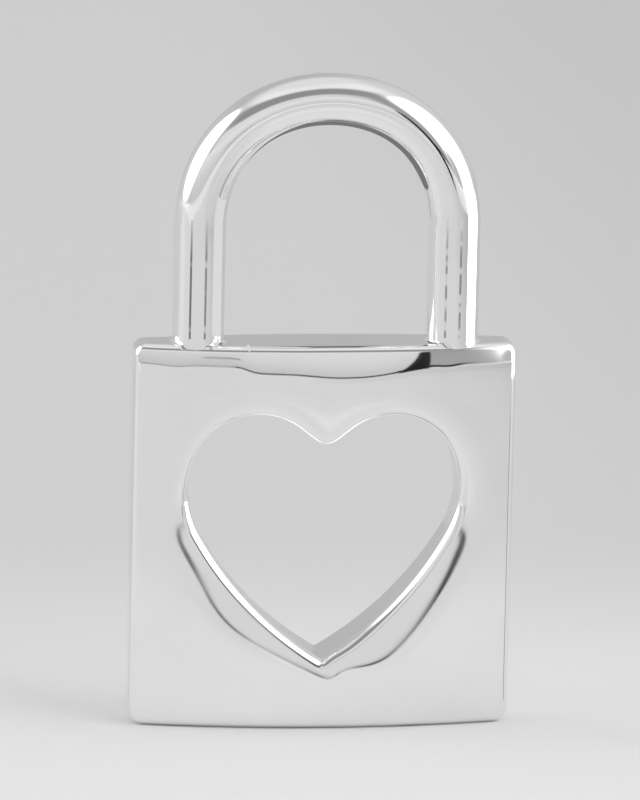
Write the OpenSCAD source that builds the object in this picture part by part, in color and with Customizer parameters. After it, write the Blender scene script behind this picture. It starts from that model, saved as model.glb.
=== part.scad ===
// Heart lock pendant: a solid polished charm in the form of a padlock, in millimetres.
// Origin at the middle of the base, +Z up, the front faces -Y.

/* [Body] */
// Width of the body, side to side
body_w = 12.8; // [12.2:0.1:14]
// Height of the body, without the shackle
body_h = 13; // [12.5:0.1:14.5]
// Thickness of the body at its middle, front to back
body_t = 2.7; // [2.6:0.05:3.2]
// How far the front bows out between its sides
front_bow = 0.8; // [0.4:0.05:0.85]
// How far the back bows out between its sides
back_bow = 0.55; // [0.3:0.05:0.6]
// Corner radius of the outline at the base
low_corner_r = 0.5; // [0.3:0.05:0.8]
// Corner radius of the outline at the top
top_corner_r = 0.4; // [0.3:0.05:0.8]
// Rounding of the long edges
edge_r = 0.28; // [0.15:0.01:0.3]

/* [Heart] */
// Height of the lobe centres above the base
lobe_z = 8.4; // [8.2:0.05:8.8]
// Distance of a lobe's centre from the middle
lobe_x = 2.24; // [2.2:0.01:2.3]
// Radius of a lobe
lobe_r = 2.23; // [2.15:0.01:2.25]
// Radius of the shoulder below a lobe
shoulder_r = 3.13; // [2.9:0.05:3.3]
// Radius of the long side that runs down to the tip
side_r = 11.4; // [11:0.1:13]
// Angle above level where the lobe passes into the shoulder
lobe_end = 21.5; // [18:0.5:25]
// Angle below level where the shoulder passes into the long side
shoulder_end = 29.5; // [27:0.5:32]
// Slope of the cleft's two sides
cleft_slope = 38; // [36:0.5:42]
// Rounding of the point between the lobes
cleft_r = 0.63; // [0.4:0.01:0.7]

/* [Shackle] */
// Diameter of the shackle's round wire
wire_d = 1.74; // [1.5:0.02:1.8]
// Distance of a leg's axis from the middle
leg_x = 4.26; // [4.1:0.02:4.3]
// Length of the straight legs above the body
leg_h = 3.9; // [3:0.05:6]
// How far a leg's foot flares out inside the body's top
foot_flare = 0.11; // [0.05:0.01:0.12]
// Height of that flare above the body
foot_h = 0.2; // [0.1:0.05:0.4]

/* [Hidden] */
$fn = 96;
// Segments of the widest arcs
BOW_FN = 360;
// How far a cutting shape runs past what it cuts
CUT = 1;
// How much two curves that meet smoothly are made to cross, so that no sliver is left between them
seam = 0.002;

// A bow across the body's width is an arc, and a bow's radius follows from its rise
function bow_radius(bow) = (pow(body_w / 2, 2) + bow * bow) / (2 * bow);
front_r = bow_radius(front_bow);
back_r = bow_radius(back_bow);
front_axis_y = front_r - body_t / 2;
back_axis_y = body_t / 2 - back_r;
wire_r = wire_d / 2;
spring_z = body_h + leg_h;
// How deep a leg runs into the body
leg_sink = 0.4;

// Corner centre in the plan, where an edge rounding meets both a side and a bowed face
edge_x = body_w / 2 - edge_r;
front_edge_y = front_axis_y - sqrt(pow(front_r - edge_r, 2) - edge_x * edge_x);
back_edge_y = back_axis_y + sqrt(pow(back_r - edge_r, 2) - edge_x * edge_x);

// The heart's right half is three arcs that meet smoothly, about [0, 0] between the lobe centres
function toward(a) = [cos(a), sin(a)];
lobe_c = [lobe_x, 0];
shoulder_c = lobe_c + (lobe_r - shoulder_r) * toward(lobe_end);
side_c = shoulder_c + (shoulder_r - side_r) * toward(-shoulder_end);
tip_angle = acos(-side_c[0] / side_r);
cleft_p = lobe_c + lobe_r * toward(90 + cleft_slope);
shoulder_p = shoulder_c + shoulder_r * toward(-shoulder_end);
tip_p = side_c + side_r * toward(-tip_angle);
cleft_c = [0, cleft_p[1] - tan(cleft_slope) * cleft_p[0] + cleft_r / cos(cleft_slope)];
cleft_q = cleft_c + cleft_r * toward(cleft_slope - 90);
// Depth of a rim band, and how many degrees it laps past its end
band_depth = 1.2;
band_lap = 4;
slope_seam = seam * toward(90 + cleft_slope);
core_low_p = tip_p + [0, band_depth / 2];
core_side_p = shoulder_p - toward(-shoulder_end) * band_depth / 2;
heart_depth = body_t * 2;

// A band of a disc's rim between two angles, deep enough to run into the heart's middle
module rim_band(centre, r, a0, a1) {
    translate(centre)
        intersection() {
            cylinder(h = heart_depth, r = r, $fn = BOW_FN);
            translate([0, 0, -CUT])
                linear_extrude(height = heart_depth + 2 * CUT)
                    polygon([
                        (r - band_depth) * toward(a0),
                        r * 2 * toward(a0),
                        r * 4 * toward((a0 + a1) / 2),
                        r * 2 * toward(a1),
                        (r - band_depth) * toward(a1)
                    ]);
        }
}

// What a rounding of radius r takes off a square corner at the origin that opens to +X, +Y
module corner_waste(r) {
    difference() {
        translate([-CUT, -CUT])
            square(r + CUT);
        translate([r, r])
            circle(r);
        translate([r, -CUT * 2])
            square(r + CUT * 2);
    }
}

// The heart's right half. Each larger arc lies a hair inside the smaller one before it, so that they cross
module half_heart() {
    translate([0, heart_depth / 2, lobe_z])
        rotate([90, 0, 0])
            difference() {
                union() {
                    linear_extrude(height = heart_depth)
                        polygon([cleft_c, core_low_p, core_side_p, lobe_c, cleft_p - slope_seam, cleft_q - slope_seam]);
                    translate(lobe_c)
                        cylinder(h = heart_depth, r = lobe_r);
                    rim_band(shoulder_c, shoulder_r - seam, -shoulder_end - band_lap, lobe_end);
                    rim_band(side_c, side_r - 2 * seam, -tip_angle - band_lap, -shoulder_end);
                }
                translate([0, cleft_c[1], -CUT])
                    cylinder(h = heart_depth + 2 * CUT, r = cleft_r + seam);
                translate([-body_w, -body_h, -CUT])
                    cube([body_w, body_h * 2, heart_depth + 2 * CUT]);
            }
}

// The body seen from the front: a square with four rounded corners
module front_outline() {
    difference() {
        translate([-body_w / 2, 0])
            square([body_w, body_h]);
        for (side = [0, 1])
            mirror([side, 0]) {
                translate([-body_w / 2, 0])
                    corner_waste(low_corner_r);
                translate([-body_w / 2, body_h])
                    mirror([0, 1])
                        corner_waste(top_corner_r);
            }
    }
}

// What the rounding of a long edge takes off the body's corner on the +X side, from base to top
module edge_waste(edge_y, axis_y, r, outward) {
    along = [edge_x, edge_y - axis_y] / (r - edge_r);
    centre = [edge_x, edge_y];
    translate([0, 0, -CUT])
        linear_extrude(height = body_h + 2 * CUT)
            difference() {
                polygon([
                    centre,
                    centre + along * (edge_r + CUT),
                    centre + [edge_r + CUT, outward * (edge_r + CUT)],
                    centre + [edge_r + CUT, 0]
                ]);
                translate(centre)
                    circle(edge_r + seam);
            }
}

// A bowed face with rounded top and bottom edges, as a full turned drum
module bow_drum(r) {
    rotate_extrude($fn = BOW_FN) {
        square([r - edge_r, body_h]);
        translate([0, edge_r])
            square([r, body_h - 2 * edge_r]);
        for (z = [edge_r, body_h - edge_r])
            translate([r - edge_r, z])
                circle(edge_r);
    }
}

module body() {
    difference() {
        intersection() {
            translate([0, front_axis_y, 0])
                bow_drum(front_r);
            translate([0, back_axis_y, 0])
                bow_drum(back_r);
            rotate([90, 0, 0])
                linear_extrude(height = body_t * 2, center = true)
                    front_outline();
        }
        for (side = [0, 1])
            mirror([side, 0, 0]) {
                edge_waste(front_edge_y, front_axis_y, front_r, -1);
                edge_waste(back_edge_y, back_axis_y, back_r, 1);
                half_heart();
            }
    }
}

// A leg of round wire that flares out where it runs into the body
module leg() {
    translate([leg_x, 0, body_h - leg_sink])
        cylinder(h = leg_h + leg_sink, r = wire_r);
    translate([leg_x, 0, body_h - edge_r])
        cylinder(h = edge_r + foot_h, r1 = wire_r + foot_flare, r2 = wire_r);
}

// The half ring of wire on top of the legs
module arch() {
    translate([0, 0, spring_z])
        rotate([90, 0, 0])
            rotate_extrude(angle = 180)
                translate([leg_x, 0])
                    circle(wire_r);
}

module shackle() {
    for (side = [0, 1])
        mirror([side, 0, 0])
            leg();
    arch();
}

// Body and shackle are one casting
module heart_lock() {
    color("silver") {
        body();
        shackle();
    }
}

heart_lock();
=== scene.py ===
"""Heart lock pendant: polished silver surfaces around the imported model, on a pale studio floor."""

import logging
import math
from dataclasses import dataclass, field
from enum import Enum

import bpy
import numpy as np
from mathutils import Matrix, Vector


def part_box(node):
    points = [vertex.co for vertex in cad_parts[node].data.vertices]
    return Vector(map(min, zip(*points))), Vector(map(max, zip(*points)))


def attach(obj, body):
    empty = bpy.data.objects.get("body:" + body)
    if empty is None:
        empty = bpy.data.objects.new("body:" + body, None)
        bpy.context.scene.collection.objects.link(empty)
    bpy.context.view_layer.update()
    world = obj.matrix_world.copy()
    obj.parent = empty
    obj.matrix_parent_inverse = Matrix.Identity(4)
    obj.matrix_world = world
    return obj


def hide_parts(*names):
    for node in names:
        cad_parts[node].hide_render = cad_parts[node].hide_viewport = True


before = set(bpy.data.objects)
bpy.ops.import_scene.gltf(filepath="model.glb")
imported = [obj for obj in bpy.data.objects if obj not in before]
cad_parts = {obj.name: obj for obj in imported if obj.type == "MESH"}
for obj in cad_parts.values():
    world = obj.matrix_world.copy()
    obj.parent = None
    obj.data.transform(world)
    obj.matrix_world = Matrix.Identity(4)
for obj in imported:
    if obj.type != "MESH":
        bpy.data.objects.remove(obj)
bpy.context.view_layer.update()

logging.basicConfig(level=logging.INFO, format="%(name)s: %(message)s")
log = logging.getLogger("heart_lock")

MM = 0.001
NODE = "heart_lock"
BODY = "root"
WHITE = (1.0, 1.0, 1.0, 1.0)
SAMPLES_PER_DEGREE = 10
LEAST_ARC_SAMPLES = 24
LINE_SAMPLES = 200
NEXT_TO_NOTHING = 1e-7
STEEPEST_STEP = 50.0

# Sockets of the Mix node that hold colours. Their names belong to other sockets too.
MIX_COLOURS = (6, 7)
MIX_COLOUR_RESULT = 2

Numbers = np.ndarray | float


class Facing(Enum):
    """Whether metal bounded by an arc faces away from the arc's centre or towards it."""

    AWAY = 0.0
    TOWARDS = math.pi


class Side(Enum):
    """The two broad faces of the lock, by the sign of the Y that they face."""

    FRONT = -1
    BACK = 1


class Change(Enum):
    """How a mapped value changes between its two ends, by the name of the node's setting."""

    EVEN = "LINEAR"
    SOFT = "SMOOTHSTEP"


class Wall(Enum):
    """The two upright walls of the lock, by the outline that each one follows."""

    HEART = "heart"
    RIM = "rim"


class Row(Enum):
    """The strips of the body's closed section, in the order in which the section runs."""

    HEART_FRONT_EDGE = 0
    FRONT_FACE = 1
    RIM_FRONT_EDGE = 2
    RIM = 3
    RIM_BACK_EDGE = 4
    BACK_FACE = 5
    HEART_BACK_EDGE = 6
    HEART_WALL = 7


def direction(angle: np.ndarray) -> np.ndarray:
    """Returns the plan vectors (x, z) of the given angles, from cosine and sine."""
    return np.stack([np.cos(angle), np.sin(angle)], axis=-1)


def toward(degrees: float) -> np.ndarray:
    """Returns the plan vector (x, z) that points at an angle above level, in degrees."""
    return direction(np.radians(degrees))


def round_axis(azimuth: Numbers, reach: Numbers, level: Numbers) -> np.ndarray:
    """Places points round the Z axis: the reach times the azimuth's sine and minus its cosine, at a level.

    Args:
        azimuth: Degrees from straight in front, positive to the right.
        reach: Distances from the axis.
        level: Heights.

    Returns:
        The points, with x, y and z in the last dimension.
    """
    turn = np.radians(azimuth)
    return np.stack(np.broadcast_arrays(reach * np.sin(turn), -reach * np.cos(turn), level), axis=-1)


def blend(first: Numbers, second: Numbers, share: Numbers) -> Numbers:
    """Returns a straight mix: the first value where the share is 0, and the second where it is 1."""
    return (1 - share) * first + share * second


def soft_step(past: np.ndarray, softness: float) -> np.ndarray:
    """Returns a logistic step from 0 to 1 as past goes through 0: 1 / (1 + e^(-past / softness))."""
    return 1 / (1 + np.exp(np.clip(-past / softness, -STEEPEST_STEP, STEEPEST_STEP)))


def rightness(x: np.ndarray, width: float) -> np.ndarray:
    """Returns a share from 0 on the left to 1 on the right, by a hyperbolic tangent over that width."""
    return 0.5 + 0.5 * np.tanh(x / width)


def spread(count: int, power: float = 1.0) -> np.ndarray:
    """Returns numbers from 0 to 1 that crowd towards both ends.

    The formula blends even steps with half a cosine wave.

    Args:
        count: How many numbers.
        power: 0 for even steps, 1 for a full cosine.

    Returns:
        An array of that many numbers.
    """
    even = np.linspace(0.0, 1.0, count)
    return blend(even, (1 - np.cos(math.pi * even)) / 2, power)


@dataclass(frozen=True)
class PlanCurve:
    """A curve in the front plane, with the way that the metal beside it faces.

    Attributes:
        points: x and z of each sample, in metres.
        facing: Continuous angle of the metal's outward normal at each sample.
    """

    points: np.ndarray
    facing: np.ndarray

    @staticmethod
    def arc(centre: np.ndarray, radius: float, start: float, stop: float, side: Facing) -> "PlanCurve":
        """Samples a circle: the centre plus the radius times the cosine and sine of each angle.

        Args:
            centre: x and z of the circle's centre.
            radius: Its radius.
            start: First angle, in degrees.
            stop: Last angle, in degrees.
            side: Which way the metal faces.

        Returns:
            The curve, with a sample about every tenth of a degree.
        """
        count = max(LEAST_ARC_SAMPLES, int(abs(stop - start) * SAMPLES_PER_DEGREE))
        angles = np.radians(np.linspace(start, stop, count))
        return PlanCurve(centre + radius * direction(angles), angles + side.value)

    @staticmethod
    def line(start: np.ndarray, stop: np.ndarray, facing: float) -> "PlanCurve":
        """Samples a straight line whose metal faces one way, given in degrees."""
        points = np.linspace(start, stop, LINE_SAMPLES)
        return PlanCurve(points, np.full(len(points), math.radians(facing)))

    @staticmethod
    def join(parts: list["PlanCurve"]) -> "PlanCurve":
        """Chains curves end to end and unwraps the way they face, so that it never jumps by a turn.

        Args:
            parts: The curves, in order.

        Returns:
            One curve.
        """
        points = np.concatenate([part.points for part in parts])
        facing = np.unwrap(np.concatenate([part.facing for part in parts]))
        return PlanCurve(points, facing)

    def bearing(self, centre: np.ndarray) -> np.ndarray:
        """Returns each sample's clockwise angle from straight up, seen from the centre."""
        offset = self.points - centre
        return np.arctan2(offset[:, 0], offset[:, 1])

    def effort(self, turn_weight: float) -> np.ndarray:
        """Returns the length run so far, plus a weight times the turning done so far."""
        step = np.hypot(*np.diff(self.points, axis=0).T) + turn_weight * np.abs(np.diff(self.facing))
        return np.concatenate([[0.0], np.cumsum(step)])

    def at(self, centre: np.ndarray, bearings: np.ndarray) -> "PlanCurve":
        """Resamples a half outline at bearings from its centre, by straight lines between samples.

        Args:
            centre: The point that the bearings are seen from.
            bearings: The bearings, in growing order.

        Returns:
            The curve, with one sample for each bearing.
        """
        own = self.bearing(centre)
        points = np.stack([np.interp(bearings, own, self.points[:, k]) for k in (0, 1)], axis=-1)
        return PlanCurve(points, np.interp(bearings, own, self.facing))

    def mirrored(self) -> "PlanCurve":
        """Closes a right half with its mirror image, the two middle samples used once.

        Returns:
            The closed curve.
        """
        left_points = self.points[-2:0:-1] * [-1.0, 1.0]
        left_facing = math.pi - self.facing[-2:0:-1]
        return PlanCurve(
            np.concatenate([self.points, left_points]),
            np.concatenate([self.facing, left_facing]),
        )


@dataclass(frozen=True)
class HeartCut:
    """The heart that is cut through the body, as arcs that run smoothly into each other.

    Attributes:
        lobe_z: Height of the lobe centres.
        lobe_x: Distance of a lobe's centre from the middle.
        lobe_r: Radius of a lobe.
        shoulder_r: Radius below a lobe.
        side_r: Radius of the long side.
        lobe_end: Angle above level where lobe meets shoulder, in degrees.
        shoulder_end: Angle below level where shoulder meets side, in degrees.
        cleft_slope: Slope of the cleft's sides, in degrees.
        cleft_r: Rounding of the point between the lobes.
        tip_r: Rounding of the tip.
    """

    lobe_z: float = 8.4 * MM
    lobe_x: float = 2.24 * MM
    lobe_r: float = 2.23 * MM
    shoulder_r: float = 3.13 * MM
    side_r: float = 11.4 * MM
    lobe_end: float = 21.5
    shoulder_end: float = 29.5
    cleft_slope: float = 38.0
    cleft_r: float = 0.63 * MM
    tip_r: float = 0.08 * MM

    def half(self) -> PlanCurve:
        """Works out the right half from the cleft down to the tip.

        Each centre lies on the line through the last arc's centre and end, so neighbours share a tangent. The
        tip's small arc touches the long side from inside, on the middle line.

        Returns:
            The half outline. Its metal faces into the hole.
        """
        lobe = np.array([self.lobe_x, self.lobe_z])
        shoulder = lobe + (self.lobe_r - self.shoulder_r) * toward(self.lobe_end)
        side = shoulder + (self.shoulder_r - self.side_r) * toward(-self.shoulder_end)
        cleft_top = lobe + self.lobe_r * toward(90 + self.cleft_slope)
        slope = math.radians(self.cleft_slope)
        cleft_z = cleft_top[1] - math.tan(slope) * cleft_top[0] + self.cleft_r / math.cos(slope)
        cleft = np.array([0.0, cleft_z])
        cleft_low = cleft + self.cleft_r * toward(self.cleft_slope - 90)
        reach = self.side_r - self.tip_r
        tip = np.array([0.0, side[1] - math.sqrt(reach**2 - side[0] ** 2)])
        tip_angle = math.degrees(math.asin((side[1] - tip[1]) / reach))
        return PlanCurve.join(
            [
                PlanCurve.arc(cleft, self.cleft_r, -90, self.cleft_slope - 90, Facing.AWAY),
                PlanCurve.line(cleft_low, cleft_top, self.cleft_slope - 90),
                PlanCurve.arc(lobe, self.lobe_r, 90 + self.cleft_slope, self.lobe_end, Facing.TOWARDS),
                PlanCurve.arc(shoulder, self.shoulder_r, self.lobe_end, -self.shoulder_end, Facing.TOWARDS),
                PlanCurve.arc(side, self.side_r, -self.shoulder_end, -tip_angle, Facing.TOWARDS),
                PlanCurve.arc(tip, self.tip_r, -tip_angle, -90, Facing.TOWARDS),
            ]
        )


@dataclass(frozen=True)
class SoftRamp:
    """A slope that starts softly at a knee and then stays the same, as a buffed bevel does.

    Attributes:
        slope: The steady slope on the near side of the knee.
        knee: Distance from the edge at which the slope is half of that.
        softness: How widely the knee is rounded.
    """

    slope: float
    knee: float
    softness: float

    def depth(self, past: np.ndarray) -> np.ndarray:
        """Returns slope times softness times ln(1 + e^(past / softness)), from the way past the knee."""
        return self.slope * self.softness * np.logaddexp(0.0, past / self.softness)

    def fall(self, distance: np.ndarray, knee: np.ndarray | None = None) -> np.ndarray:
        """Returns the depth at a distance from the edge, with the ramp's own knee or another one."""
        return self.depth((self.knee if knee is None else knee) - distance)


def soft_least(first: np.ndarray, second: np.ndarray, rounding: float) -> np.ndarray:
    """Returns the lesser of two fields, rounded where they cross: -r ln(e^(-first / r) + e^(-second / r))."""
    return -rounding * np.logaddexp(-first / rounding, -second / rounding)


@dataclass(frozen=True)
class Swell:
    """A stretch over which a border lies further from the edge that it follows.

    Attributes:
        start: Where it begins.
        stop: Where it ends.
        flanks: How softly it begins and ends.
        reach: How much further away the border lies.
    """

    start: float
    stop: float
    flanks: tuple[float, float]
    reach: float

    def at(self, x: np.ndarray) -> np.ndarray:
        """Works out the reach times the difference of two soft steps, one at each end.

        Args:
            x: Places along the border.

        Returns:
            How much further away it lies there.
        """
        rise = soft_step(x - self.start, self.flanks[0])
        drop = soft_step(x - self.stop, self.flanks[1])
        return self.reach * (rise - drop)


@dataclass(frozen=True)
class BuffedPatch:
    """Outline of the buffed area round the heart, widest beside the tip and narrower further up.

    Under the tip it ends at two low borders: a straight one that slants down from the left, and a level one
    on the right, which take over from each other just right of the middle.

    Attributes:
        level: Height at which the two widths hold.
        left_width: Distance from the heart to the area's left border.
        right_width: The same on the right.
        left_narrowing: Share of the further height by which the left width shrinks.
        right_narrowing: The same on the right.
        low_left: Height of the left low border at the middle.
        low_left_slope: How steeply that border comes down.
        low_right: Height of the right low border.
        crossing: Where one low border takes over from the other.
        crossing_width: How widely it does so.
        middle_width: How widely the left width changes to the right one.
        left_swells: Heights over which the left border lies further out.
        left_rounding: Rounding between the left side border and the low one.
        right_rounding: The same on the right.
    """

    level: float = 3.3 * MM
    left_width: float = 1.15 * MM
    right_width: float = 1.3 * MM
    left_narrowing: float = 0.085
    right_narrowing: float = 0.12
    low_left: float = 1.67 * MM
    low_left_slope: float = 0.52
    low_right: float = 2.06 * MM
    crossing: float = 0.45 * MM
    crossing_width: float = 0.3 * MM
    middle_width: float = 1.0 * MM
    left_swells: tuple[Swell, ...] = (
        Swell(1.0 * MM, 4.9 * MM, (0.3 * MM, 0.45 * MM), 0.08 * MM),
        Swell(6.6 * MM, 9.0 * MM, (0.35 * MM, 0.3 * MM), 0.07 * MM),
    )
    left_rounding: float = 0.22 * MM
    right_rounding: float = 0.3 * MM

    def rounding(self, x: np.ndarray) -> np.ndarray:
        """Returns the rounding, which changes from left to right as the width does."""
        return blend(self.left_rounding, self.right_rounding, rightness(x, self.middle_width))

    def width(self, x: np.ndarray, z: np.ndarray) -> np.ndarray:
        """Works out the width: two lines over the height, with the swells, blended across the middle.

        Args:
            x: Positions across the body.
            z: Heights.

        Returns:
            The widths.
        """
        left = self.left_width - self.left_narrowing * (z - self.level)
        left = left + sum(swell.at(z) for swell in self.left_swells)
        right = self.right_width - self.right_narrowing * (z - self.level)
        return blend(left, right, rightness(x, self.middle_width))

    def above_low(self, x: np.ndarray, z: np.ndarray) -> np.ndarray:
        """Works out the distance above the low borders, blended where one takes over from the other.

        Args:
            x: Positions across the body.
            z: Heights.

        Returns:
            The distances, negative below the borders.
        """
        lean = math.cos(math.atan(self.low_left_slope))
        left = (z - self.low_left + self.low_left_slope * x) * lean
        return blend(left, z - self.low_right, rightness(x - self.crossing, self.crossing_width))


@dataclass(frozen=True)
class Ripple:
    """Slow unevenness of a hand-polished face, a sum of a few sine waves in different directions.

    Attributes:
        height: Height of each wave.
        length: Wave length of the longest one.
        seed: Seed of the waves' directions and phases.
        waves: How many waves are added.
        change: Share of the first wave by which each further one is shorter and lower.
    """

    height: float
    length: float
    seed: int
    waves: int = 7
    change: float = 0.22

    def at(self, a: np.ndarray, b: np.ndarray) -> np.ndarray:
        """Adds up sines of the positions along random directions, each wave a little shorter.

        Args:
            a: Positions one way.
            b: Positions across that way.

        Returns:
            The heights.
        """
        rng = np.random.default_rng(self.seed)
        total = np.zeros(np.broadcast(a, b).shape)
        for k in range(self.waves):
            turn, phase = rng.uniform(0, 2 * math.pi, 2)
            finer = 1 + self.change * k
            number = 2 * math.pi / self.length * finer
            total += np.sin(number * (a * math.cos(turn) + b * math.sin(turn)) + phase) / finer
        return self.height * total


@dataclass(frozen=True)
class FaceRelief:
    """One broad face as a height field over the front plane.

    Attributes:
        side: Front or back.
        middle: Distance of the face's middle from the plane Y = 0.
        half_width: Half the body's width.
        height: The body's height.
        bow: How far the face bows out between its sides.
        heart: Samples around the heart's edge, for the soft distance.
        patch: Outline of the buffed area.
        heart_bevel: The buffed fall towards the heart, which begins at that outline.
        top_fall: The fall towards the top edge, at its narrowest.
        rim_fall: The fall towards the sides and the base.
        ripple: Unevenness of the polish.
        top_swells: Where the fall towards the top edge begins further in.
        heart_lip: A narrower, steeper fall right at the heart, where the face has one.
        lip_gap: How far the lip stays above the area's low borders, and its rounding there.
    """

    side: Side
    middle: float
    half_width: float
    height: float
    bow: float
    heart: np.ndarray
    patch: BuffedPatch
    heart_bevel: SoftRamp
    top_fall: SoftRamp
    rim_fall: SoftRamp
    ripple: Ripple
    top_swells: tuple[Swell, ...] = ()
    heart_lip: SoftRamp | None = None
    lip_gap: float = 0.1 * MM

    def heart_distance(self, x: np.ndarray, z: np.ndarray) -> np.ndarray:
        """Soft distance from the heart's edge.

        The inverse sixth powers of the distances to all of the edge's samples are added, times the length of
        each sample. Along a straight edge that sum is 3 pi / 8 over the fifth power of the distance, which is
        solved for the distance. Round the tip and the cleft the result changes smoothly.

        Args:
            x: Positions across the body.
            z: Heights.

        Returns:
            The distances, in the same shape.
        """
        ahead = np.roll(self.heart, -1, axis=0)
        behind = np.roll(self.heart, 1, axis=0)
        length = np.hypot(*((ahead - behind) / 2).T)
        places = np.stack([np.ravel(x), np.ravel(z)], axis=-1)
        total = np.empty(len(places))
        at_once = 8192
        for start in range(0, len(places), at_once):
            part = slice(start, start + at_once)
            square = ((places[part, None, :] - self.heart[None]) ** 2).sum(axis=-1)
            total[part] = (length / square**3).sum(axis=-1)
        along_straight_edge = 3 * math.pi / 8
        return ((total / along_straight_edge) ** (-1 / 5)).reshape(np.shape(x))

    def depth(self, x: np.ndarray, z: np.ndarray) -> np.ndarray:
        """Depth of the face below its highest level.

        It adds the bow, which is an arc across the width, the falls towards the heart, the fall towards the
        top edge, whose knee follows the swells, the falls towards the sides and the base, and the ripple.

        Args:
            x: Positions across the body.
            z: Heights.

        Returns:
            The depths, in the same shape.
        """
        radius = (self.half_width**2 + self.bow**2) / (2 * self.bow)
        bowed = radius - np.sqrt(radius**2 - x**2)
        from_heart = self.heart_distance(x, z)
        above_low = self.patch.above_low(x, z)
        in_bevel = soft_least(self.patch.width(x, z) - from_heart, above_low, self.patch.rounding(x))
        falls = self.heart_bevel.depth(in_bevel)
        if self.heart_lip is not None:
            in_lip = soft_least(self.heart_lip.knee - from_heart, above_low - self.lip_gap, self.lip_gap)
            falls = falls + self.heart_lip.depth(in_lip)
        top_knee = self.top_fall.knee + sum(swell.at(x) for swell in self.top_swells)
        falls = falls + self.top_fall.fall(self.height - z, top_knee)
        falls = falls + self.rim_fall.fall(z) + self.rim_fall.fall(self.half_width - np.abs(x))
        return bowed + falls + self.ripple.at(x, z)

    def y(self, x: np.ndarray, z: np.ndarray) -> np.ndarray:
        """Returns the face's Y at the given places."""
        return self.side.value * (self.middle - self.depth(x, z))

    def normal(self, x: np.ndarray, z: np.ndarray) -> np.ndarray:
        """Works out outward unit normals, from differences of the depth over a micrometre each way.

        Args:
            x: Positions across the body.
            z: Heights.

        Returns:
            The normals, with x, y and z in the last dimension.
        """
        step = 1e-6
        slope_x = (self.depth(x + step, z) - self.depth(x - step, z)) / (2 * step)
        slope_z = (self.depth(x, z + step) - self.depth(x, z - step)) / (2 * step)
        vectors = np.stack([slope_x, np.full(np.shape(x), float(self.side.value)), slope_z], axis=-1)
        return vectors / np.linalg.norm(vectors, axis=-1, keepdims=True)


@dataclass(frozen=True)
class RolledEdge:
    """A rounded edge between a broad face and an upright wall, as the track of a ball that touches both.

    Attributes:
        centre: The ball's centre for each column.
        face_normal: Direction from the centre to the face.
        wall_normal: Direction from the centre to the wall.
        radius: The ball's radius.
    """

    centre: np.ndarray
    face_normal: np.ndarray
    wall_normal: np.ndarray
    radius: float

    @staticmethod
    def between(face: FaceRelief, wall: PlanCurve, radius: float, rounds: int = 12) -> "RolledEdge":
        """Rolls a ball along the edge.

        Its centre lies one radius inside the wall in plan. The point where it touches the face is the centre
        plus the radius times the face's normal there, which a few rounds of substitution settle.

        Args:
            face: The broad face.
            wall: The wall's outline in plan.
            radius: The ball's radius.
            rounds: How many rounds.

        Returns:
            The edge.
        """
        plan = direction(wall.facing)
        inward = wall.points - radius * plan
        touch = inward.copy()
        for _ in range(rounds):
            normal = face.normal(touch[:, 0], touch[:, 1])
            touch = inward + radius * normal[:, [0, 2]]
        normal = face.normal(touch[:, 0], touch[:, 1])
        depth = face.y(touch[:, 0], touch[:, 1]) - radius * normal[:, 1]
        centre = np.stack([inward[:, 0], depth, inward[:, 1]], axis=-1)
        upright = np.stack([plan[:, 0], np.zeros(len(plan)), plan[:, 1]], axis=-1)
        return RolledEdge(centre, normal, upright, radius)

    def face_touch(self) -> np.ndarray:
        """Returns x and z of the points where the ball touches the face."""
        return (self.centre + self.radius * self.face_normal)[:, [0, 2]]

    def rows(self, count: int) -> np.ndarray:
        """Returns rows of points from the face to the wall, along the arc between the two normals.

        The normals in between are weighted by the sines of the angles left and run, so that they turn evenly.

        Args:
            count: How many rows.

        Returns:
            An array of rows by columns by 3.
        """
        cosine = (self.face_normal * self.wall_normal).sum(axis=-1)
        angle = np.arccos(np.clip(cosine, -1, 1))[None, :, None]
        run = np.linspace(0.0, 1.0, count)[:, None, None]
        turned = np.sin((1 - run) * angle) * self.face_normal + np.sin(run * angle) * self.wall_normal
        return self.centre + self.radius * turned / np.sin(angle)


def make_mesh(name: str, points: np.ndarray, faces: list[np.ndarray]) -> bpy.types.Mesh:
    """Puts points and faces into a smooth mesh whose faces point outwards.

    The volume is the sum, over each face's fan of triangles, of a sixth of the triple product of its corners.
    Where it is negative, every face is turned over.

    Args:
        name: The mesh's name.
        points: Points by 3.
        faces: Index arrays, each of faces by corners.

    Returns:
        The mesh.
    """
    volume = 0.0
    for block in faces:
        corner = points[block]
        for k in range(1, block.shape[1] - 1):
            cross = np.cross(corner[:, k], corner[:, k + 1])
            volume += (corner[:, 0] * cross).sum() / 6
    turned = [block[:, ::-1] if volume < 0 else block for block in faces]
    mesh = bpy.data.meshes.new(name)
    mesh.vertices.add(len(points))
    mesh.vertices.foreach_set("co", points.astype(np.float32).ravel())
    totals = np.concatenate([np.full(len(block), block.shape[1]) for block in turned])
    corners = np.concatenate([block.ravel() for block in turned])
    mesh.loops.add(len(corners))
    mesh.loops.foreach_set("vertex_index", corners.astype(np.int32))
    mesh.polygons.add(len(totals))
    mesh.polygons.foreach_set("loop_start", (np.cumsum(totals) - totals).astype(np.int32))
    mesh.polygons.foreach_set("loop_total", totals.astype(np.int32))
    mesh.polygons.foreach_set("use_smooth", np.ones(len(totals), bool))
    mesh.update(calc_edges=True)
    mesh.validate()
    return mesh


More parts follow.
